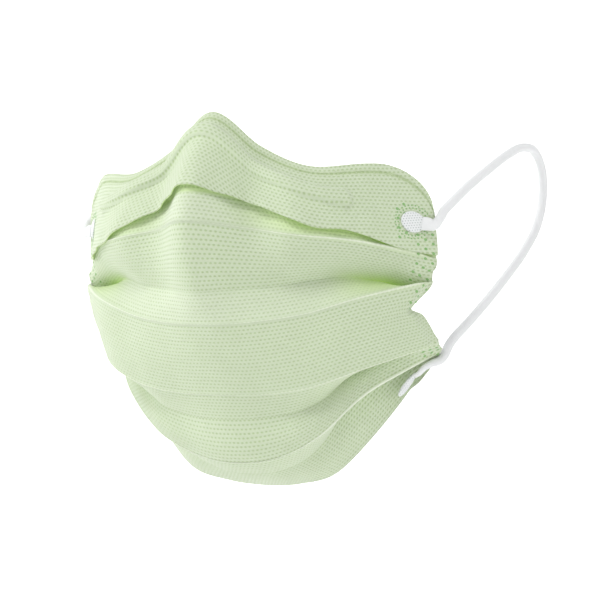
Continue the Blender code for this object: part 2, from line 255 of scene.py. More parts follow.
def makeWhiteCloth():
    material, tree, shader = newMaterial("whiteCloth")
    pits, _, relief = dotsAndFibres(tree, readAttribute(tree, "clothPlace", "Vector"), whiteLook)
    colour = mixColour(tree, pits, whiteLook["cloth"], whiteLook["pit"])
    setInputs(tree, shader, {"Base Color": colour, **whiteLook["inputs"]})
    addBump(tree, shader, relief, whiteLook["bump"])
    return material


def makeCordYarn():
    material, tree, shader = newMaterial("cordYarn")
    place = readAttribute(tree, "clothPlace", "Vector")
    # fine knitted ribs that run round and along the cord
    ribs = newNode(tree, "ShaderNodeTexWave", {"Vector": place, **cordLook["ribs"]}, wave_type="BANDS",
                   bands_direction="Y").outputs["Fac"]
    fibres = useGroup(tree, mattedFibres, place, {"Fineness": cordLook["fineness"]})
    # the gaps between the ribs are painted darker: painted shade in the grooves
    gapShade = maths(tree, "MULTIPLY", maths(tree, "SUBTRACT", 1.0, ribs), cordLook["gapShadeMix"])
    colour = mixColour(tree, gapShade, cordLook["yarn"], cordLook["gap"])
    setInputs(tree, shader, {"Base Color": colour, **cordLook["inputs"]})
    relief = maths(tree, "MULTIPLY", fibres.outputs["Fibre"], cordLook["fibreRelief"])
    addBump(tree, shader, maths(tree, "ADD", ribs, relief), cordLook["bump"])
    return material


def makePressedYarn():
    material, tree, shader = newMaterial("pressedYarn")
    dots = useGroup(tree, dotGrid, readAttribute(tree, "clothPlace", "Vector"), pressedLook["dots"])
    pits = maths(tree, "MULTIPLY", dots.outputs["Pit"], pressedLook["pitMix"])
    colour = mixColour(tree, pits, pressedLook["yarn"], pressedLook["pit"])
    setInputs(tree, shader, {"Base Color": colour, **pressedLook["inputs"]})
    addBump(tree, shader, maths(tree, "SUBTRACT", 1.0, dots.outputs["Pit"]), pressedLook["bump"])
    return material


def makeMottled(name, look):
    material, tree, shader = newMaterial(name)
    place = newNode(tree, "ShaderNodeTexCoord").outputs["Object"]
    clouds = newNode(tree, "ShaderNodeTexNoise", {"Vector": place, "Scale": look["scale"]})
    colour = mixColour(tree, clouds.outputs["Fac"], *look["colours"])
    setInputs(tree, shader, {"Base Color": colour, **look["inputs"]})
    return material


greenCloth = makeGreenCloth()
whiteCloth = makeWhiteCloth()
cordYarn = makeCordYarn()
pressedYarn = makePressedYarn()
weldSpotLook = makeMottled("weldSpot", spotLook)
wireMetal = makeMottled("wireMetal", wireLook)
print("materials made")

# the form of the mask: shares of its sizes at five stations from the middle to the side edge
form = {
    "halfWidth": 0.0695, "height": 0.1268, "depth": 0.060, "clothHalf": 0.0850,
    "cornerRadius": 0.0160, "lowerCornerRadius": 0.0040,
    # where the side edge is drawn in between the second and the third pleat
    "notchDepth": 0.0076, "notchStart": 0.72, "notchPower": 1.5,
    "notchLevels": (0.00, 0.14, 0.28, 0.37, 0.46, 0.62, 0.80, 1.00),
    "notchShares": (0.00, 0.18, 0.70, 1.00, 0.64, 0.37, 0.19, 0.00),
    "lineSteps": 241, "faceColumns": 161, "faceRows": 320, "evening": 2000,
}
stations = (0.0, 0.25, 0.50, 0.75, 1.0)
foldLines = (
    {"line": "topEdge", "side": 0.971, "ahead": (0.000, 0.042, 0.083, 0.217, 0.425),
     "level": (0.000, -0.091, -0.148, -0.141, -0.139)},
    {"line": "foldA", "side": 1.000, "ahead": (-0.317, -0.125, -0.108, 0.108, 0.458),
     "level": (-0.288, -0.306, -0.326, -0.342, -0.386)},
    {"line": "foldB", "side": 0.990, "ahead": (-0.150, -0.083, 0.017, 0.133, 0.425),
     "level": (-0.555, -0.549, -0.528, -0.487, -0.443)},
    {"line": "foldC", "side": 0.957, "ahead": (0.050, 0.075, 0.105, 0.208, 0.575),
     "level": (-0.740, -0.737, -0.715, -0.663, -0.594)},
    {"line": "foldD", "side": 0.928, "ahead": (0.233, 0.250, 0.250, 0.333, 0.683),
     "level": (-0.927, -0.910, -0.848, -0.730, -0.629)},
    {"line": "bottomEdge", "side": 0.850, "ahead": (0.600, 0.550, 0.533, 0.567, 0.633),
     "level": (-1.002, -0.991, -0.958, -0.847, -0.700)},
)
# bends are in degrees; a ride is a height over the face, in layers of the cloth; the last three numbers of a
# pleat say how much painted light its pocket gets, and from which share to which it comes in
pleats = (
    {"line": "foldA", "opens": "up", "depth": 0.0105, "sideDepth": 0.0045, "ride": -0.3,
     "bends": (3, 13, 24, 56, 142, 172, 178), "paintedLight": 0.95, "paintedLightFrom": 0.10, "paintedLightFull": 0.58},
    {"line": "foldB", "opens": "up", "depth": 0.0110, "sideDepth": 0.0090, "ride": 1.9,
     "bends": (8, 23, 41, 74, 104, 160, 178), "paintedLight": 1.0, "paintedLightFrom": 0.50, "paintedLightFull": 0.90},
    {"line": "foldC", "opens": "down", "depth": 0.0095, "sideDepth": 0.0095, "ride": 1.9,
     "bends": (5, 17, 42, 78, 110, 165, 178), "paintedLight": 0.2, "paintedLightFrom": 0.3, "paintedLightFull": 0.8},
    {"line": "foldD", "opens": "down", "depth": 0.0090, "sideDepth": 0.0090, "ride": -0.3,
     "bends": (4, 15, 42, 78, 110, 165, 178), "paintedLight": 0.2, "paintedLightFrom": 0.4, "paintedLightFull": 0.8},
)
bendStations = (0.0, 0.25, 0.50, 0.75, 0.88, 0.97, 1.0)
body = {
    "wall": 0.0006, "foldRadius": 0.00055, "stackRadius": 0.00062, "sideFrom": 0.6, "sideSpan": 0.35,
    "topRide": -0.75, "bottomRide": -1.6, "hemWidth": 0.0150, "hemClear": 0.0125, "columns": 110,
    "hemSteps": 12, "panelSteps": (18, 22, 24, 28, 20), "runSteps": 8, "creaseSteps": 6,
    # the crease rise lifts the outer creases; the run value is a faint painted highlight on the runs of the
    # upward pleats
    "marginStart": 0.92, "marginFull": 0.985, "marginPress": 0.85, "creaseRise": 0.00018, "runHighlight": 0.18,
    "puff": (0.0000, 0.0010, 0.0006, 0.0008, 0.0008), "puffPower": 1.25, "puffMiddle": 0.3, "puffFull": 0.3,
    "wrinkle": 0.00035, "fineWrinkle": 0.35, "calmRows": 10.0, "calmSides": 8.0,
}
# painted light for light through the cloth: where it starts above a fold, and how much of it is painted on
# each stretch
pocketLightPaint = {
    "bandStart": 0.25, "panelStart": 0.62, "underBand": 0.45, "power": 1.6, "runFade": 0.6,
    "lowCrease": 0.25, "outerCrease": 0.15, "shutSpan": 0.03,
}
# two waves of unevenness: millimetres across and down, and their layer of the noise
ruffles = ((26.0, 15.0, 3.7), (9.0, 6.0, 11.3))


def clamp(value):
    return max(0.0, min(1.0, value))


def ease(t):
    return t * t * (3 - 2 * t)


def smoothCurve(knots, values, at, levelStart=False):
    knots = np.asarray(knots, float)
    values = np.asarray(values, float)
    span = np.diff(knots)
    shape = (-1,) + (1,) * (values.ndim - 1)
    chord = np.diff(values, axis=0) / span.reshape(shape)
    slope = np.empty_like(values)
    share = (span[:-1] / (span[:-1] + span[1:])).reshape(shape)
    slope[1:-1] = (1 - share) * chord[:-1] + share * chord[1:]
    slope[0] = 0.0 if levelStart else 1.5 * chord[0] - 0.5 * slope[1]
    slope[-1] = 1.5 * chord[-1] - 0.5 * slope[-2]
    at = np.asarray(at, float)
    piece = np.clip(np.searchsorted(knots, at, side="right") - 1, 0, len(knots) - 2)
    step = span[piece]
    t = (at - knots[piece]) / step
    if values.ndim > 1:
        step, t = step[:, None], t[:, None]
    start = (1 + 2 * t) * (1 - t) ** 2 * values[piece] + t * (1 - t) ** 2 * step * slope[piece]
    end = t * t * (3 - 2 * t) * values[piece + 1] - t * t * (1 - t) * step * slope[piece + 1]
    return start + end


def along(points):
    return np.concatenate([[0.0], np.cumsum(np.linalg.norm(np.diff(points, axis=0), axis=1))])


def foldLine(row, shares):
    across = np.linspace(0.0, 1.0, form["lineSteps"])
    line = np.stack([row["side"] * form["halfWidth"] * across,
                     smoothCurve(stations, row["ahead"], across, True) * form["depth"],
                     smoothCurve(stations, row["level"], across, True) * form["height"]], axis=1)
    length = along(line)
    at = np.asarray(shares) * length[-1]
    return np.stack([np.interp(at, length, line[:, axis]) for axis in range(3)], axis=1)


def makeFace():
    # the smooth outer face of half the mask, before the pleats are folded into it
    shares = np.linspace(0.0, 1.0, form["faceColumns"])
    lines = np.stack([foldLine(row, shares) for row in foldLines])
    knots = along(lines[:, 0])
    rows = np.unique(np.concatenate([np.linspace(0.0, knots[-1], form["faceRows"]), knots]))
    points = np.stack([smoothCurve(knots, lines[:, i], rows) for i in range(len(shares))])
    over = np.gradient(points, shares, axis=0)
    over[0, :, 1:] = 0.0
    normal = np.cross(np.gradient(points, axis=1), over)
    normal /= np.linalg.norm(normal, axis=2, keepdims=True)
    for _ in range(form["evening"]):
        wide = np.pad(normal, ((0, 0), (1, 1), (0, 0)), mode="edge")
        normal = (wide[:, :-2] + 2 * normal + wide[:, 2:]) / 4
    normal /= np.linalg.norm(normal, axis=2, keepdims=True)
    return {"rows": rows, "points": points, "normals": normal, "drops": np.stack([along(p) for p in points]),
            "lines": {row["line"]: knot for row, knot in zip(foldLines, knots)}}


def mixSections(table, share):
    at = min(max(share, 0.0), 1.0) * (len(table) - 1)
    column = min(int(at), len(table) - 2)
    return table[column] + (at - column) * (table[column + 1] - table[column])


def dropOf(line, share):
    return float(np.interp(face["lines"][line], face["rows"], mixSections(face["drops"], share)))


def placeOn(share, drops, heights):
    # points of the face at one share of the half width, by distances down it and heights over it
    rows = np.interp(drops, mixSections(face["drops"], share), face["rows"])
    upper, lower = face["lines"]["foldB"], face["lines"]["foldC"]
    levels = np.clip((rows - upper) / (lower - upper), 0.0, 1.0)
    nearness = smoothCurve(form["notchLevels"], form["notchShares"], levels, True)
    inward = max(0.0, (share - form["notchStart"]) / (1.0 - form["notchStart"])) ** form["notchPower"]
    drawn = share - form["notchDepth"] / form["halfWidth"] * nearness * inward
    columnAt = np.clip(drawn, 0.0, 1.0) * (form["faceColumns"] - 1)
    rowAt = np.interp(rows, face["rows"], np.arange(len(face["rows"])))
    c = np.minimum(columnAt.astype(int), form["faceColumns"] - 2)
    r = np.minimum(rowAt.astype(int), len(face["rows"]) - 2)
    u, v = (columnAt - c)[:, None], (rowAt - r)[:, None]

    def blend(table):
        near = (1 - v) * table[c, r] + v * table[c, r + 1]
        far = (1 - v) * table[c + 1, r] + v * table[c + 1, r + 1]
        return (1 - u) * near + u * far

    normal = blend(face["normals"])
    normal /= np.linalg.norm(normal, axis=1, keepdims=True)
    return blend(face["points"]) + np.asarray(heights)[:, None] * normal


def acrossAt(share, drop, shift=0.02):
    # metres across the face for one share of the half width
    both = [placeOn(share + side * shift, [drop], [0.0])[0] for side in (-1, 1)]
    return float(np.linalg.norm(both[1] - both[0])) / (2 * shift)


def cornerCut(share, radius):
    fromSide = (1.0 - share) * form["halfWidth"]
    if fromSide >= radius:
        return 0.0
    return radius - math.sqrt(radius ** 2 - (radius - fromSide) ** 2)


def pleatAngle(pleat, share):
    return math.radians(float(smoothCurve(bendStations, pleat["bends"], share, True)))


def pleatDepth(pleat, share):
    toSide = clamp((share - body["sideFrom"]) / body["sideSpan"])
    return pleat["depth"] + (pleat["sideDepth"] - pleat["depth"]) * toSide


def pressHere(share):
    # the layers are welded flat on each other in the side margins
    t = clamp((share - body["marginStart"]) / (body["marginFull"] - body["marginStart"]))
    return 1.0 - body["marginPress"] * ease(t)


def edgeHeight(edge, share):
    pleat, ride = {"top": (pleats[0], body["topRide"]), "bottom": (pleats[-1], body["bottomRide"])}[edge]
    return 2 * body["stackRadius"] * pressHere(share) * ride * pleatAngle(pleat, share) / math.pi


def belt(pins, runs, offset):
    # a line over pins like a belt; each run between two pins has its steps and its puff
    angles = []
    for (s0, n0, r0), (s1, n1, r1) in zip(pins[:-1], pins[1:]):
        lean = max(-1.0, min(1.0, (r1 - r0) / math.hypot(s1 - s0, n1 - n0)))
        angles.append(math.atan2(n1 - n0, s1 - s0) + math.asin(lean))
    line = []
    for i, (s, n, radius) in enumerate(pins):
        turns = angles[max(i - 1, 0)], angles[min(i, len(angles) - 1)]
        count = body["creaseSteps"] if radius else 0
        for k in range(count + 1):
            angle = turns[0] + (turns[1] - turns[0]) * k / max(count, 1)
            line.append((s - (radius + offset) * math.sin(angle), n + (radius + offset) * math.cos(angle)))
        if i < len(runs):
            angle, (steps, puff) = angles[i], runs[i]
            start = line[-1]
            s1, n1, r1 = pins[i + 1]
            end = (s1 - (r1 + offset) * math.sin(angle), n1 + (r1 + offset) * math.cos(angle))
            for k in range(1, steps):
                t = k / steps
                rise = puff * math.sin(math.pi * t) ** body["puffPower"]
                line.append((start[0] + (end[0] - start[0]) * t - rise * math.sin(angle),
                             start[1] + (end[1] - start[1]) * t + rise * math.cos(angle)))
    return line


def sectionLine(share, part):
    press = pressHere(share)
    offset = part * body["wall"] / 2 * press
    middle = -body["wall"] / 2 * press
    radius, stack = body["foldRadius"] * press, body["stackRadius"] * press
    swell = press * (body["puffMiddle"] + (1.0 - body["puffMiddle"]) * min(1.0, share / body["puffFull"]))
    top = cornerCut(share, form["cornerRadius"])
    hemEnd = min(top + body["hemWidth"], dropOf("foldA", share) - body["hemClear"])
    hemHeight = middle + edgeHeight("top", share)
    pins, runs = [(hemEnd, hemHeight, 0.0)], []
    for pleat, steps, puff in zip(pleats, body["panelSteps"], body["puff"]):
        angle = pleatAngle(pleat, share)
        s = dropOf(pleat["line"], share)
        n = middle - radius + 2 * stack * pleat["ride"] * angle / math.pi
        run = pleatDepth(pleat, share) * math.cos(angle), pleatDepth(pleat, share) * math.sin(angle)
        lift = 2 * stack * math.sin(angle), 2 * stack * math.cos(angle)
        if pleat["opens"] == "up":
            pins += [(s - run[0] - lift[0], n - run[1] + lift[1], -radius), (s, n, radius)]
        else:
            pins += [(s, n, radius), (s + run[0] + lift[0], n - run[1] + lift[1], -radius)]
        runs += [(steps, puff * swell), (body["runSteps"], 0.0)]
    bottom = dropOf("bottomEdge", share) - cornerCut(share, form["lowerCornerRadius"])
    pins.append((bottom, middle + edgeHeight("bottom", share), 0.0))
    runs.append((body["panelSteps"][-1], body["puff"][-1] * swell))
    hem = [(top + (hemEnd - top) * k / body["hemSteps"], hemHeight + offset) for k in range(body["hemSteps"])]
    return np.array(hem + belt(pins, runs, offset))


def creaseRows():
    # how near each row of a section is to the outer crease of a pleat; this lifts the crease a little and
    # places a painted highlight on it, fainter on the runs of the upward pleats
    marks = [0.0] * (body["hemSteps"] + 1)
    for pleat, steps in zip(pleats, body["panelSteps"]):
        marks += [0.0] * (steps - 1)
        bend = [math.sin(math.pi * k / body["creaseSteps"]) for k in range(body["creaseSteps"] + 1)]
        flat = [0.0] * (body["creaseSteps"] + 1)
        first, second = (flat, bend) if pleat["opens"] == "up" else (bend, flat)
        # the runs of the upward pleats get a faint painted highlight
        pale = body["runHighlight"] if pleat["opens"] == "up" else 0.0
        marks += first + [pale] * (body["runSteps"] - 1) + second
    marks += [0.0] * body["panelSteps"][-1]
    return np.array(marks)


def flipSide(points, side):
    return np.asarray(points) * (side, 1.0, 1.0)


def addMesh(name, points, faces, materials, materialOf=None, **attributes):
    mesh = bpy.data.meshes.new(name)
    mesh.from_pydata([tuple(p) for p in points], [], faces)
    for material in materials:
        mesh.materials.append(material)
    if materialOf is not None:
        mesh.polygons.foreach_set("material_index", np.asarray(materialOf, np.int32))
    mesh.shade_smooth()
    for key, values in attributes.items():
        values = np.asarray(values, np.float32)
        kind = "FLOAT_VECTOR" if values.ndim == 2 else "FLOAT"
        mesh.attributes.new(key, kind, "POINT").data.foreach_set("vector" if values.ndim == 2 else "value",
                                                                  values.ravel())
    mesh.validate()
    thing = bpy.data.objects.new(name, mesh)
    scene.collection.objects.link(thing)
    return thing


def wallFaces(width, rows):
    # outer faces, inner faces and rim of a wall between two grids of points
    c, r = np.meshgrid(np.arange(width - 1), np.arange(rows - 1), indexing="ij")
    here, there = (c * rows + r).ravel(), ((c + 1) * rows + r).ravel()
    count = width * rows
    outer = np.stack([here, here + 1, there + 1, there], axis=1)
    inner = outer[:, ::-1] + count
    ring = list(range(rows)) + [c * rows + rows - 1 for c in range(1, width)]
    ring += [(width - 1) * rows + r for r in range(rows - 2, -1, -1)]
    ring += [c * rows for c in range(width - 2, 0, -1)]
    rim = [(b, a, count + a, count + b) for a, b in zip(ring, ring[1:] + ring[:1])]
    return outer.tolist(), inner.tolist(), rim


def ruffle(place, size, fine):
    # gentle unevenness of the cloth, from its place in millimetres
    broad, small = (noise.noise(Vector((place[0] / x, place[1] / y, layer))) for x, y, layer in ruffles)
    return size * (broad + fine * small)


face = makeFace()


def paintedPocketLight(share):
    # how much painted light, standing for light that comes through the cloth, each row of a section gets,
    # most at the inner folds
    paintedLight = [0.0] * (body["hemSteps"] + 1)
    turn = body["creaseSteps"] + 1
    shut = clamp((1.0 - share) / pocketLightPaint["shutSpan"])
    for pleat, steps in zip(pleats, body["panelSteps"]):
        opening = ease(clamp((share - pleat["paintedLightFrom"]) / (pleat["paintedLightFull"] - pleat["paintedLightFrom"])))
        amount = early = pleat["paintedLight"] * opening * shut
        start = pocketLightPaint["panelStart"]
        if pleat is pleats[0]:
            # under the band the cloth above the pleat gets the painted light too
            start = pocketLightPaint["bandStart"]
            early = max(amount, pocketLightPaint["underBand"] * pleat["paintedLight"] * shut)
        towards = [max(0.0, (k / steps - start) / (1.0 - start)) ** pocketLightPaint["power"] for k in range(1, steps)]
        run = [1.0 - pocketLightPaint["runFade"] * (k / body["runSteps"]) ** 2 for k in range(1, body["runSteps"])]
        if pleat["opens"] == "down":
            rows = [0.0] * (steps - 1) + [pocketLightPaint["lowCrease"]] * turn + run[::-1] + [1.0] * turn
            paintedLight += [amount * value for value in rows]
        else:
            paintedLight += [early * value for value in towards + [1.0] * turn]
            paintedLight += [amount * value for value in run + [pocketLightPaint["outerCrease"]] * turn]
    return np.array(paintedLight + [0.0] * body["panelSteps"][-1])


def makeMaskCloth():
    shares = np.linspace(0.0, 1.0, body["columns"] + 1)
    halves = {}
    for part in (1, -1):
        halves[part] = [sectionLine(share, part) for share in shares]
    middle = [(a + b) / 2 for a, b in zip(*halves.values())]
    rows = len(middle[0])
    clothDown = np.mean([along(line) for line in middle], axis=0)  # distance down the unfolded cloth
    columns = [(-share, i) for i, share in enumerate(shares)][:0:-1]
    columns += [(share, i) for i, share in enumerate(shares)]
    grids = {part: [] for part in halves}
    crease = creaseRows()
    rise = body["creaseRise"] * crease
    place, pocket = [], []
    for signed, i in columns:
        side = -1.0 if signed < 0 else 1.0
        across = signed * form["clothHalf"]
        spots = np.stack([np.full(rows, across * 1000), clothDown * 1000, np.zeros(rows)], axis=1)
        wave = np.array([ruffle(spot, body["wrinkle"], body["fineWrinkle"]) for spot in spots])
        edge = np.minimum(np.arange(rows), np.arange(rows)[::-1]) / body["calmRows"]
        wave *= np.clip(edge, 0.0, 1.0) * min(1.0, (1.0 - abs(signed)) * body["calmSides"])
        for part, lines in halves.items():
            line = lines[i]
            grids[part].append(flipSide(placeOn(abs(signed), line[:, 0], line[:, 1] + wave + rise), side))
        place.append(spots)
        pocket.append(paintedPocketLight(abs(signed)))
    outer, inner = (np.array(grid) for grid in grids.values())
    outerFaces, innerFaces, rim = wallFaces(len(columns), rows)
    place = np.array(place).reshape(-1, 3)
    pocket = np.array(pocket).ravel()
    points = np.concatenate([outer.reshape(-1, 3), inner.reshape(-1, 3)])
    cloth = addMesh(
        "maskCloth", points, outerFaces + innerFaces + rim, [greenCloth, whiteCloth],
        [0] * len(outerFaces) + [1] * len(innerFaces) + [0] * len(rim),
        clothPlace=np.concatenate([place, place]), pocket=np.concatenate([pocket, pocket]),
        pressed=np.zeros(2 * len(place)), crease=np.tile(crease, 2 * len(columns)))
    print("mask cloth:", len(cloth.data.polygons), "faces,", round(clothDown[-1] * 1000), "mm down the cloth")
    return cloth, clothDown[-1]


maskCloth, clothDrop = makeMaskCloth()

# the band over the nose, with the ridge of the wire under it
band = {
    "wall": 0.0005, "gap": 0.0003, "width": 0.0275, "columns": 150, "rows": (5, 14, 46),
    "rowEnds": (0.0018, 0.0044), "at": (0.0, 0.25, 0.50, 0.64, 0.75, 0.86, 1.0),
    # its width as shares; on the wearer's right the free edge hangs lower
    "shares": (1.08, 0.785, 0.82, 0.825, 0.93, 1.03, 1.10),
    "farShares": (1.08, 0.85, 0.93, 0.99, 1.08, 1.10, 1.10),
    "wave": 0.0004, "waves": 7.0, "waveFrom": 0.6, "fade": 6.0, "fadeEnd": 0.82,
    # the pressed groove along the cut edge, and its dashes; then where painted light starts on the underside
    # of the band
    "weldDrop": 0.0030, "weldPitch": 0.0021, "weldDent": 0.00062, "weldWidth": 0.00055,
    "groove": 0.55, "dash": 0.45, "paintedLightFrom": 0.55, "paintedLightSpan": 0.3,
    "wrinkle": 0.00025, "fineWrinkle": 0.6, "calmTop": 0.003, "calmFree": 0.004, "calmLeast": 0.25,
    "wireRelief": 0.00230, "reliefWidth": 0.62, "reliefPower": 8, "reliefEnd": 1.12,
}
wire = {"length": 0.0980, "width": 0.0040, "drop": 0.0085, "endDrop": 0.0125}


def wirePath(share):
    reach = min(1.0, share * form["halfWidth"] / (wire["length"] / 2))
    return wire["drop"] + (wire["endDrop"] - wire["drop"]) * reach ** 2


def bandLift(share, drop, width):
    pastEnd = np.maximum(0.0, share * form["halfWidth"] * band["reliefEnd"] - wire["length"] / 2)
    offWire = np.hypot(drop - wirePath(share), pastEnd) / (wire["width"] * band["reliefWidth"])
    overWire = band["wireRelief"] / (1.0 + offWire ** band["reliefPower"])
    free = np.maximum(0.0, drop / width - band["waveFrom"]) / (1.0 - band["waveFrom"])
    wave = band["wave"] * (1.0 + math.sin(2 * math.pi * band["waves"] * share)) * free ** 2
    return overWire + wave * clamp((band["fadeEnd"] - share) * band["fade"])


def makeNoseBand():
    shares = np.linspace(0.0, 1.0, band["columns"] + 1)
    # more rows where the groove along the cut edge needs them
    near, far = band["rowEnds"]
    steps = np.concatenate([np.linspace(0.0, near, band["rows"][0], endpoint=False),
                            np.linspace(near, far, band["rows"][1], endpoint=False)])
    rows = sum(band["rows"])
    columns = [-share for share in shares[:0:-1]] + list(shares)
    outer, inner, place, pressed, under = [], [], [], [], []
    for signed in columns:
        share, side = abs(signed), -1.0 if signed < 0 else 1.0
        top = cornerCut(share, form["cornerRadius"])
        reach = band["farShares"] if signed < 0 else band["shares"]
        width = band["width"] * float(smoothCurve(band["at"], reach, share, True))
        drops = np.concatenate([top + steps, np.linspace(top + far, width, band["rows"][2])])
        across = signed * form["clothHalf"]
        # the groove follows the rounded corners
        edgeLine = np.abs(drops - top - band["weldDrop"])
        dash = band["groove"] + band["dash"] * max(0.0, math.cos(2 * math.pi * across / band["weldPitch"]))
        dent = np.exp(-(edgeLine / band["weldWidth"]) ** 2) * dash
        height = band["gap"] + edgeHeight("top", share) + bandLift(share, drops, width)
        spots = np.stack([np.full(rows, across * 1000), drops * 1000, np.zeros(rows)], axis=1)
        free = np.clip((width - drops) / band["calmFree"], band["calmLeast"], 1.0)
        free *= np.clip((drops - top) / band["calmTop"], 0.0, 1.0)
        uneven = [ruffle(spot, band["wrinkle"], band["fineWrinkle"]) + band["wrinkle"] for spot in spots]
        height = height + np.array(uneven) * free
        outer.append(flipSide(placeOn(share, drops, height + band["wall"] - band["weldDent"] * dent), side))
        inner.append(flipSide(placeOn(share, drops, height), side))
        place.append(spots)
        pressed.append(dent)
        # the underside of the band gets painted pocket light towards its free edge
        under.append(np.clip((drops / width - band["paintedLightFrom"]) / band["paintedLightSpan"], 0.0, 1.0))
    outerFaces, innerFaces, rim = wallFaces(len(columns), rows)
    place = np.array(place).reshape(-1, 3)
    pressed = np.array(pressed).ravel()
    points = np.concatenate([np.array(outer).reshape(-1, 3), np.array(inner).reshape(-1, 3)])
    return addMesh("noseBandCloth", points, outerFaces + innerFaces + rim, [greenCloth],
                   clothPlace=np.concatenate([place, place]), crease=np.zeros(2 * len(place)),
                   pocket=np.concatenate([np.zeros(len(place)), np.array(under).ravel()]),
                   pressed=np.concatenate([pressed, np.zeros(len(place))]))


noseBand = makeNoseBand()
print("nose band:", len(noseBand.data.polygons), "faces")

# the ear loops: the cord between its two pressed ends; pairs give its upper and its lower end
cord = {
    "diameter": 0.0032, "rings": 520, "around": 20, "flatLength": (0.0065, 0.0150), "flatWidth": (1.45, 0.72),
    "flatThickness": (0.40, 0.42), "intoWeld": 0.0010, "lift": (0.75, 0.80), "leave": 0.7, "turnFrom": 0.9,
}
welds = (
    {"name": "loop_weld_top", "share": 0.905, "drop": 0.0193, "length": 0.0084, "width": 0.0070,
     "turn": math.radians(10), "liesOn": 0.0008, "edge": "top", "slant": 15.0},
    {"name": "loop_weld_bottom", "share": 0.857, "drop": 0.0798, "length": 0.0096, "width": 0.0032,
     "turn": math.radians(-57), "liesOn": 0.0, "edge": "bottom", "slant": 0.0},
)
weldLook = {"gap": 0.0003, "thickness": 0.0008, "rings": 22, "around": 64, "rim": 0.35, "squareness": 5}
loopRoute = (   # shares of half the width to the side, the depth ahead and the height up
    (1.023, 0.438, -0.281), (1.024, 0.483, -0.262), (1.024, 0.550, -0.246), (1.029, 0.773, -0.193),
    (1.037, 1.030, -0.140), (1.045, 1.313, -0.087), (1.047, 1.435, -0.070), (1.050, 1.532, -0.064),
    (1.053, 1.632, -0.068), (1.055, 1.703, -0.087), (1.058, 1.760, -0.127), (1.059, 1.772, -0.172),
    (1.059, 1.748, -0.227), (1.058, 1.670, -0.287), (1.053, 1.522, -0.348), (1.039, 1.235, -0.438),
    (1.020, 1.007, -0.506), (0.983, 0.833, -0.566), (0.958, 0.775, -0.592), (0.941, 0.742, -0.614),
    (0.932, 0.717, -0.636), (0.920, 0.680, -0.651), (0.897, 0.636, -0.659), (0.872, 0.604, -0.669),
)


def weldPlace(weld, lengthwise, crosswise, height):
    across = lengthwise * math.cos(weld["turn"]) - crosswise * math.sin(weld["turn"])
    down = lengthwise * math.sin(weld["turn"]) + crosswise * math.cos(weld["turn"])
    share = weld["share"] + across / acrossAt(weld["share"], weld["drop"])
    height += weld["liesOn"] + edgeHeight(weld["edge"], share)
    return placeOn(share, [weld["drop"] + down], [height])[0]


def makeWeld(weld, sideName, side):
    # a pressed end of the cord: an oval pad with a softly rounded rim
    halfLength, halfWidth, n = weld["length"] / 2, weld["width"] / 2, weldLook["around"]
    spots = [(0.0, 0.0)]
    for ring in range(1, weldLook["rings"] + 1):
        reach = ring / weldLook["rings"]
        for k in range(n):
            angle = 2 * math.pi * k / n
            spots.append((reach * halfLength * math.cos(angle), reach * halfWidth * math.sin(angle)))
    outer, inner, place = [], [], []
    slant = math.radians(weld["slant"])
    for a, b in spots:
        reach = math.hypot(a / halfLength, b / halfWidth)
        bulge = math.sqrt(max(0.0, 1.0 - reach ** weldLook["squareness"]))
        swell = weldLook["thickness"] * (weldLook["rim"] + (1.0 - weldLook["rim"]) * bulge)
        outer.append(weldPlace(weld, a, b, weldLook["gap"] + swell) * (side, 1, 1))
        inner.append(weldPlace(weld, a, b, weldLook["gap"]) * (side, 1, 1))
        place.append(((a * math.cos(slant) - b * math.sin(slant)) * 1000,
                      (a * math.sin(slant) + b * math.cos(slant)) * 1000, 0.0))
    count = len(spots)
    faces = []
    for k in range(n):
        this, following = k + 1, (k + 1) % n + 1
        faces.append((0, following, this))
        for ring in range(weldLook["rings"] - 1):
            inside, outside = ring * n, (ring + 1) * n
            faces.append((this + inside, following + inside, following + outside, this + outside))
    back = [tuple(count + corner for corner in reversed(corners)) for corners in faces]
    last = (weldLook["rings"] - 1) * n
    rim = [(last + (k + 1) % n + 1, last + k + 1, count + last + k + 1, count + last + (k + 1) % n + 1)
           for k in range(n)]
    rim = [tuple(reversed(corners)) for corners in rim]
    faces = faces + back + rim
    if side < 0:
        faces = [tuple(reversed(corners)) for corners in faces]
    return addMesh(weld["name"] + "_" + sideName + "_pad", outer + inner, faces, [pressedYarn],
                   clothPlace=place + place)


def loopLine(side):
    top, bottom = welds
    radius, gap = cord["diameter"] / 2, weldLook["gap"]
    # both ends run a little way into their welds and sink down to them
    low = radius * cord["flatThickness"][0] + gap * 0.5
    start = [weldPlace(top, top["length"] / 2 - cord["intoWeld"], 0.0, low),
             weldPlace(top, top["length"] / 2 + gap, 0.0, radius * cord["lift"][0] + gap),
             weldPlace(top, top["length"] / 2 + cord["leave"] * cord["diameter"], 0.0, radius + gap)]
    end = [weldPlace(bottom, bottom["length"] / 2 + gap, 0.0, radius * cord["lift"][1] + gap),
           weldPlace(bottom, bottom["length"] / 2 - cord["intoWeld"], 0.0, low)]
    sizes = form["halfWidth"], form["depth"], form["height"]
    route = flipSide(np.array(start + [np.multiply(spot, sizes) for spot in loopRoute] + end), side)
    length = along(route)
    return smoothCurve(length, route, np.linspace(0.0, length[-1], cord["rings"]))


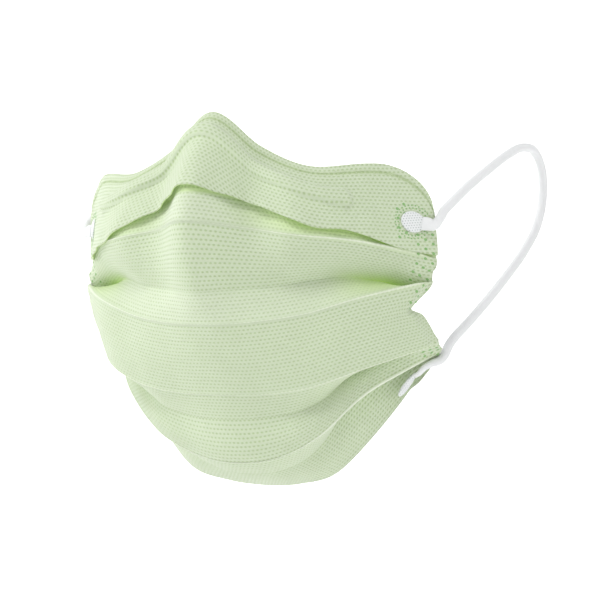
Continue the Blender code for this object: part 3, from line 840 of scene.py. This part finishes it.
def makeLoop(sideName, side):
    line = loopLine(side)
    down = np.gradient(line, axis=0)
    down /= np.linalg.norm(down, axis=1, keepdims=True)
    length = along(line)
    # the cord lies flat against the cloth at its ends, so its broad way starts along the cloth
    outward = np.array([weldPlace(weld, 0.0, 0.0, 0.003) - weldPlace(weld, 0.0, 0.0, 0.0) for weld in welds])
    outward = flipSide(outward / np.linalg.norm(outward, axis=1, keepdims=True), side)
    thick = outward[0] - down[0] * np.dot(outward[0], down[0])
    points, place = [], []
    for i, (spot, ahead) in enumerate(zip(line, down)):
        share = length[i] / length[-1]
        t = max(0.0, (share - cord["turnFrom"]) / (1.0 - cord["turnFrom"]))
        guide = (1.0 - t) * thick + t * outward[1]
        thick = guide - ahead * np.dot(guide, ahead)
        thick /= np.linalg.norm(thick)
        broad = np.cross(ahead, thick)
        a = b = cord["diameter"] / 2
        for end, away in ((0, length[i]), (1, length[-1] - length[i])):
            flat = ease(max(0.0, 1.0 - away / cord["flatLength"][end]))
            a *= 1.0 + (cord["flatWidth"][end] - 1.0) * flat
            b *= 1.0 + (cord["flatThickness"][end] - 1.0) * flat
        for k in range(cord["around"]):
            angle = 2 * math.pi * k / cord["around"]
            points.append(spot + a * math.cos(angle) * broad + b * math.sin(angle) * thick)
            place.append((angle / math.pi * cord["diameter"] * 1500, length[i] * 1000, 0.0))
    n, rings = cord["around"], len(line)
    faces = [(i * n + k, i * n + (k + 1) % n, (i + 1) * n + (k + 1) % n, (i + 1) * n + k)
             for i in range(rings - 1) for k in range(n)]
    faces += [tuple(range(n - 1, -1, -1)), tuple((rings - 1) * n + k for k in range(n))]
    loop = addMesh("earLoop_" + sideName, points, faces, [cordYarn], clothPlace=place)
    return loop, line, length[-1]


loops, pads = [], []
for sideName, side in (("left", 1.0), ("right", -1.0)):
    loops.append((sideName, *makeLoop(sideName, side)))
    pads += [(weld["name"] + "_" + sideName, makeWeld(weld, sideName, side)) for weld in welds]
print("ear loops:", round(loops[0][3] * 1000), "mm of cord each")


# rows of weld spots, set on the cloth by a Geometry Nodes tree
def buildSpotTree():
    sizes = ("Length", "Width", "Height")
    inputs = {"Geometry": "Geometry", **dict.fromkeys(sizes, "Float"), "Finish": "Material"}
    tree, inside, out = makeGroup("weldSpotRow", "GeometryNodeTree", inputs, {"Geometry": "Geometry"})
    ball = newNode(tree, "GeometryNodeMeshUVSphere", {"Segments": 10, "Rings": 6, "Radius": 0.5})
    size = newNode(tree, "ShaderNodeCombineXYZ", {
        axis: inside.outputs[name] for name, axis in zip(sizes, "XYZ")})
    squash = newNode(tree, "GeometryNodeTransform", {
        "Geometry": ball.outputs["Mesh"], "Scale": size.outputs[0]})
    up, way = (newNode(tree, "GeometryNodeInputNamedAttribute", {"Name": name}, data_type="FLOAT_VECTOR")
               for name in ("spotUp", "spotWay"))
    stand = newNode(tree, "FunctionNodeAxesToRotation", primary_axis="Z", secondary_axis="X")
    setInputs(tree, stand, {"Primary Axis": up.outputs[0], "Secondary Axis": way.outputs[0]})
    spread = newNode(tree, "GeometryNodeInstanceOnPoints", {
        "Points": inside.outputs["Geometry"], "Instance": squash.outputs["Geometry"],
        "Rotation": stand.outputs[0]})
    real = newNode(tree, "GeometryNodeRealizeInstances", {"Geometry": spread.outputs["Instances"]})
    finish = newNode(tree, "GeometryNodeSetMaterial", {
        "Geometry": real.outputs["Geometry"], "Material": inside.outputs["Finish"]})
    setInputs(tree, out, {"Geometry": finish.outputs["Geometry"]})
    return tree


def clothTree(things):
    corners, faces = [], []
    for thing in things:
        first = len(corners)
        corners += [corner.co.copy() for corner in thing.data.vertices]
        faces += [[first + index for index in polygon.vertices] for polygon in thing.data.polygons]
    return BVHTree.FromPolygons(corners, faces)


def setSpots(name, spots, sizes, tree):
    # spots: share with its sign, drop and turn; each lies where a line from outside meets the cloth
    offsets = ((0, 0, 0), (0, 0, 0.01), (-0.004, 0, 0), (0, 0.0005, 0))
    points, ups, ways = [], [], []
    for signed, drop, turn in spots:
        share, side = abs(signed), -1.0 if signed < 0 else 1.0
        base, over, beside, below = (
            Vector(flipSide(placeOn(share + ds, [drop + dd], [dh])[0], side)) for ds, dd, dh in offsets)
        hit, normal = clothSurface.ray_cast(over, (base - over).normalized(), 0.02)[:2]
        if hit is None or (over - base).normalized().dot(normal) < 0.5:
            continue
        way = (base - beside).normalized() * math.cos(turn) + (below - base).normalized() * math.sin(turn)
        points.append(hit)
        ups.append(normal)
        ways.append(way)
    holder = addMesh(name + "Points", points, [], [], spotUp=ups, spotWay=ways)
    modifier = holder.modifiers.new("spots", "NODES")
    modifier.node_group = tree
    byName = {item.name: item.identifier for item in tree.interface.items_tree if item.in_out == "INPUT"}
    for key, value in zip(("Length", "Width", "Height"), sizes):
        modifier[byName[key]] = value
    modifier[byName["Finish"]] = weldSpotLook
    bpy.context.view_layer.update()
    seen = holder.evaluated_get(bpy.context.evaluated_depsgraph_get())
    mesh = bpy.data.meshes.new_from_object(seen)
    mesh.name = name
    bpy.data.objects.remove(holder)
    mesh.shade_smooth()
    thing = bpy.data.objects.new(name, mesh)
    scene.collection.objects.link(thing)
    return thing


# a spot is its length, width and height
margin = {
    "shares": (0.982, 0.952, 0.922), "from": 0.0235, "to": 0.0440, "pitch": 0.0031, "turn": 0.5,
    "beside": (0.875, 0.845), "besideFrom": 0.0135, "besideCount": 4,
    "lowerFrom": 0.0655, "lowerPitch": 0.0022, "lowerShift": 0.4, "lowerCount": 3, "lowerTurn": -0.4,
    "spot": (0.0012, 0.0009, 0.00016),
}
rings = {
    "dots": 26, "moreDots": 5, "reach": 1.22, "step": 0.24, "taller": 1.08, "cordHalf": 0.0019,
    "spot": (0.00058, 0.00050, 0.00016),
}


def marginSpots():
    # sparse larger spots in the welded side margins, and a few above the lower corners
    spots = []
    pitch = margin["pitch"]
    for side in (-1, 1):
        for row, share in enumerate(margin["shares"]):
            for k in range(round((margin["to"] - margin["from"]) / pitch) + 1):
                spots.append((side * share, margin["from"] + (k + 0.5 * (row % 2)) * pitch, margin["turn"]))
            for k in range(margin["lowerCount"]):
                drop = margin["lowerFrom"] + (k + margin["lowerShift"] * row) * margin["lowerPitch"]
                spots.append((side * share, drop, margin["lowerTurn"]))
        for row, share in enumerate(margin["beside"]):
            for k in range(margin["besideCount"]):
                spots.append((side * share, margin["besideFrom"] + (k + 0.5 * row) * pitch, margin["turn"]))
    return spots


def ringSpots():
    # two rings of small dots pressed round the upper weld, open where the cord comes in
    spots = []
    weld = welds[0]
    scale = acrossAt(weld["share"], weld["drop"])
    for side in (-1, 1):
        for ring in range(2):
            count = rings["dots"] + rings["moreDots"] * ring
            reach = rings["reach"] + rings["step"] * ring
            for k in range(count):
                angle = 2 * math.pi * (k + 0.5 * ring) / count
                across = reach * weld["length"] / 2 * math.cos(angle)
                down = reach * weld["width"] / 2 * rings["taller"] * math.sin(angle)
                if across > 0 and abs(down) < rings["cordHalf"]:
                    continue
                spots.append((side * (weld["share"] + across / scale), weld["drop"] + down, 0.0))
    return spots


spotTree = buildSpotTree()
clothSurface = clothTree([maskCloth, noseBand])
marginWelds = setSpots("marginWelds", marginSpots(), margin["spot"], spotTree)
ringWelds = setSpots("ringWelds", ringSpots(), rings["spot"], spotTree)
print("weld spots:", len(marginWelds.data.polygons) + len(ringWelds.data.polygons), "faces")


def makeStage():
    back, bend, level = studio["backWall"], studio["bend"], studio["floorLevel"]
    profile = [(studio["front"], level)]
    profile += [(back - bend + bend * math.sin(t), level + bend - bend * math.cos(t))
                for t in np.linspace(0.0, math.pi / 2, studio["bendSteps"])]
    profile.append((back, level + studio["wallHeight"]))
    turn = math.radians(shot["azimuth"])
    points = [(x * math.cos(turn) - y * math.sin(turn), x * math.sin(turn) + y * math.cos(turn), z)
              for y, z in profile for x in (-studio["halfWide"], studio["halfWide"])]
    faces = [(2 * i, 2 * i + 1, 2 * i + 3, 2 * i + 2) for i in range(len(profile) - 1)]
    material, tree, shader = newMaterial("floorPaintedLight")
    place = newNode(tree, "ShaderNodeTexCoord").outputs["Object"]
    turned = newNode(tree, "ShaderNodeMapping", {"Vector": place, "Rotation": (0.0, 0.0, -turn)})
    split = newNode(tree, "ShaderNodeSeparateXYZ", {0: turned.outputs["Vector"]})
    start, end = studio["floorRamp"]
    ramp = newNode(tree, "ShaderNodeMapRange", {
        "Value": split.outputs["Y"], "From Min": start, "From Max": end}, interpolation_type="SMOOTHSTEP")
    # painted shade under the mask and a painted glow behind it, in both the colour and the emission
    for socket, shades in (("Base Color", studio["floorPaintedShades"]), ("Emission Color", studio["floorPaintedGlows"])):
        colour = mixColour(tree, ramp.outputs["Result"], *((shade,) * 3 for shade in shades))
        setInputs(tree, shader, {socket: colour})
    setInputs(tree, shader, {"Roughness": studio["floorRoughness"], "Emission Strength": studio["floorGlow"]})
    addMesh("floor", points, faces, [material])


makeStage()


def dress(piece, node=None):
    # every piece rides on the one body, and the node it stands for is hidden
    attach(piece, "root")
    if node:
        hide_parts(node)


dress(maskCloth, "mask_body")
dress(noseBand, "nose_band")
dress(marginWelds)
dress(ringWelds)
for node, pad in pads:
    dress(pad, node)
for sideName, loop, line, length in loops:
    dress(loop, "ear_loop_" + sideName)
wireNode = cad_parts["nose_wire"]
for slot in wireNode.material_slots:
    slot.material = wireMetal
